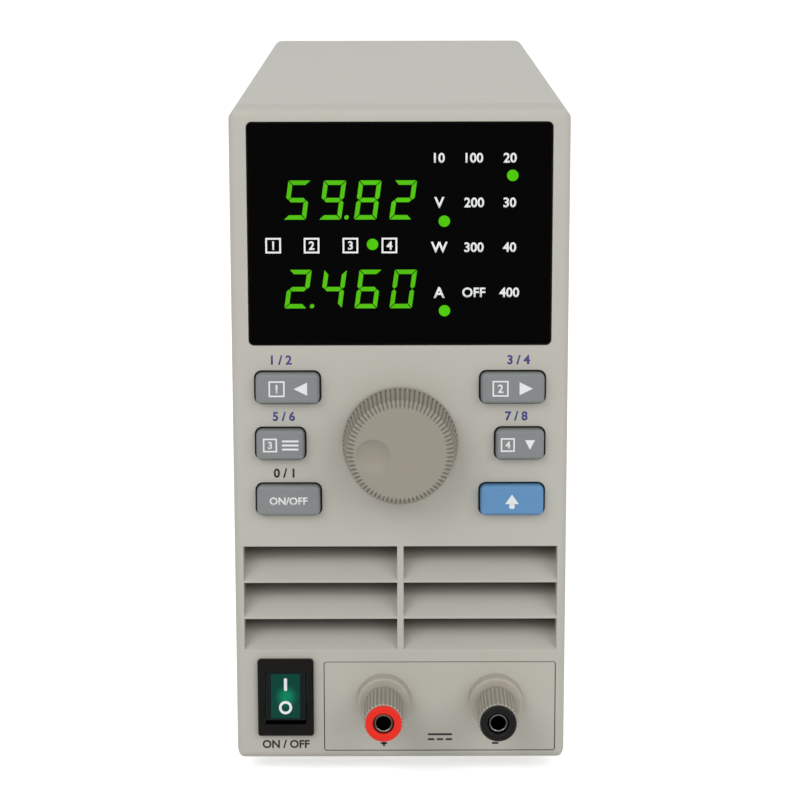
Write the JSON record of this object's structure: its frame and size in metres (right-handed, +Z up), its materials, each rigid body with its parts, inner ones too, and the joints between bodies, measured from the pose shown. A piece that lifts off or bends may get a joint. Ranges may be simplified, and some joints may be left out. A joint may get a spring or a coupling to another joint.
{
  "type": "dc_electronic_load",
  "caption": "Bench DC electronic load with a louvred grey front, green digit window, keys, a knurled knob, a lit rocker switch and red and black binding posts",
  "frame": {"origin": "bottom centre of the whole object, on the bench under the feet", "axes": "+X right, +Y from the front panel to the rear, +Z up"},
  "size_m": [0.088, 0.282, 0.179],
  "materials": {
    "bezel_plastic": "moulded light grey, fine grain",
    "cover_paint": "light grey powder coat",
    "chassis_steel": "zinc plated sheet",
    "window_black": "smoked black, glossy",
    "foot_rubber": "black",
    "screw_steel": "zinc plated",
    "screw_black": "black oxide",
    "board_green": "green solder mask",
    "readout_grey": "dark grey",
    "lamp_green": "green clear moulding",
    "part_black": "black moulding",
    "key_grey": "mid grey, fine grain",
    "key_blue": "light blue, fine grain",
    "knob_taupe": "warm grey, satin",
    "shaft_steel": "turned",
    "switch_black": "black, satin",
    "rocker_green": "green clear moulding, lit from behind",
    "contact_brass": "bright",
    "neon_amber": "small neon lamp",
    "post_grey": "light warm grey",
    "stud_nickel": "nickel plated brass",
    "ring_red": "red",
    "ring_black": "black",
    "bar_copper": "bare copper",
    "sink_aluminium": "extruded",
    "shunt_ceramic": "metal strip with a dull coat",
    "capacitor_blue": "dark blue sleeve",
    "core_steel": "varnished laminations",
    "winding_amber": "yellow tape",
    "ribbon_grey": "flat cable, grey",
    "guard_chrome": "bright wire",
    "slider_red": "red"
  },
  "bodies": {
    "case": {"front_bezel": "bezel_plastic", "terminal_plate": "bezel_plastic", "top_cover": "cover_paint", "rear_panel": "cover_paint", "base_chassis": "chassis_steel", "display_window": "window_black", "rubber_feet": "foot_rubber", "foot_screws": "screw_steel", "inner_screws": "screw_steel", "fan_screws": "screw_steel", "inlet_screws": "screw_steel", "cover_screws": "screw_black", "display_board": "board_green", "power_board": "board_green", "upper_readout": "readout_grey", "lower_readout": "readout_grey", "indicator_lamps": "lamp_green", "key_switches": "part_black", "encoder_body": "part_black", "power_transistors": "part_black", "fan_frame": "part_black", "mains_inlet": "part_black", "selector_body": "part_black", "switch_housing": "switch_black", "switch_tabs": "contact_brass", "post_nuts": "contact_brass", "board_standoffs": "contact_brass", "inlet_pins": "contact_brass", "switch_lamp": "neon_amber", "red_post_collar": "post_grey", "black_post_collar": "post_grey", "red_post_stud": "stud_nickel", "black_post_stud": "stud_nickel", "bus_bars": "bar_copper", "heat_sink": "sink_aluminium", "shunt_resistor": "shunt_ceramic", "filter_capacitors": "capacitor_blue", "transformer_core": "core_steel", "transformer_winding": "winding_amber", "ribbon_cable": "ribbon_grey", "fan_guard": "guard_chrome"},
    "knob": {"control_knob": "knob_taupe", "encoder_shaft": "shaft_steel"},
    "key_left_cap": {"key_left": "key_grey"},
    "key_menu_cap": {"key_menu": "key_grey"},
    "key_on_off_cap": {"key_on_off": "key_grey"},
    "key_right_cap": {"key_right": "key_grey"},
    "key_enter_cap": {"key_enter": "key_grey"},
    "key_shift_cap": {"key_shift": "key_blue"},
    "rocker": {"switch_rocker": "rocker_green"},
    "red_clamp": {"red_post_washer": "stud_nickel"},
    "red_cap": {"red_post_cap": "post_grey", "red_post_ring": "ring_red"},
    "black_clamp": {"black_post_washer": "stud_nickel"},
    "black_cap": {"black_post_cap": "post_grey", "black_post_ring": "ring_black"},
    "fan_wheel": {"fan_rotor": "part_black"},
    "fuse_tray": {"fuse_drawer": "part_black"},
    "selector_thumb": {"selector_slider": "slider_red"}
  },
  "joints": [
    {"name": "knob_turn", "type": "hinge", "parent": "case", "child": "knob", "pos_m": [0, -0.121, 0.09125], "axis": [0, 1, 0], "continuous": true},
    {"name": "key_left_press", "type": "slide", "parent": "case", "child": "key_left_cap", "axis": [0, 1, 0], "range_m": [0, 0.001], "stiffness_N_per_m": 600},
    {"name": "key_menu_press", "type": "slide", "parent": "case", "child": "key_menu_cap", "axis": [0, 1, 0], "range_m": [0, 0.001], "stiffness_N_per_m": 600},
    {"name": "key_on_off_press", "type": "slide", "parent": "case", "child": "key_on_off_cap", "axis": [0, 1, 0], "range_m": [0, 0.001], "stiffness_N_per_m": 600},
    {"name": "key_right_press", "type": "slide", "parent": "case", "child": "key_right_cap", "axis": [0, 1, 0], "range_m": [0, 0.001], "stiffness_N_per_m": 600},
    {"name": "key_enter_press", "type": "slide", "parent": "case", "child": "key_enter_cap", "axis": [0, 1, 0], "range_m": [0, 0.001], "stiffness_N_per_m": 600},
    {"name": "key_shift_press", "type": "slide", "parent": "case", "child": "key_shift_cap", "axis": [0, 1, 0], "range_m": [0, 0.001], "stiffness_N_per_m": 600},
    {"name": "rocker_rock", "type": "hinge", "parent": "case", "child": "rocker", "pos_m": [-0.0308, -0.1184, 0.0215], "axis": [1, 0, 0], "range_deg": [0, 20]},
    {"name": "red_clamp_lift", "type": "slide", "parent": "case", "child": "red_clamp", "axis": [0, -1, 0], "range_m": [0, 0.005]},
    {"name": "red_cap_turn", "type": "hinge", "parent": "red_clamp", "child": "red_cap", "pos_m": [-0.0045, -0.132, 0.02045], "axis": [0, -1, 0], "range_deg": [0, 1800]},
    {"name": "black_clamp_lift", "type": "slide", "parent": "case", "child": "black_clamp", "axis": [0, -1, 0], "range_m": [0, 0.005]},
    {"name": "black_cap_turn", "type": "hinge", "parent": "black_clamp", "child": "black_cap", "pos_m": [0.0255, -0.132, 0.02045], "axis": [0, -1, 0], "range_deg": [0, 1800]},
    {"name": "fan_spin", "type": "hinge", "parent": "case", "child": "fan_wheel", "pos_m": [0, 0.12, 0.056], "axis": [0, 1, 0], "continuous": true},
    {"name": "fuse_tray_pull", "type": "slide", "parent": "case", "child": "fuse_tray", "axis": [0, 1, 0], "range_m": [0, 0.015]},
    {"name": "selector_slide", "type": "slide", "parent": "case", "child": "selector_thumb", "axis": [1, 0, 0], "range_m": [0, 0.0054]}
  ],
  "couplings": [
    {"joint": "red_cap_turn", "follows": "red_clamp_lift", "rad_per_m": 6283.1},
    {"joint": "black_cap_turn", "follows": "black_clamp_lift", "rad_per_m": 6283.1}
  ]
}
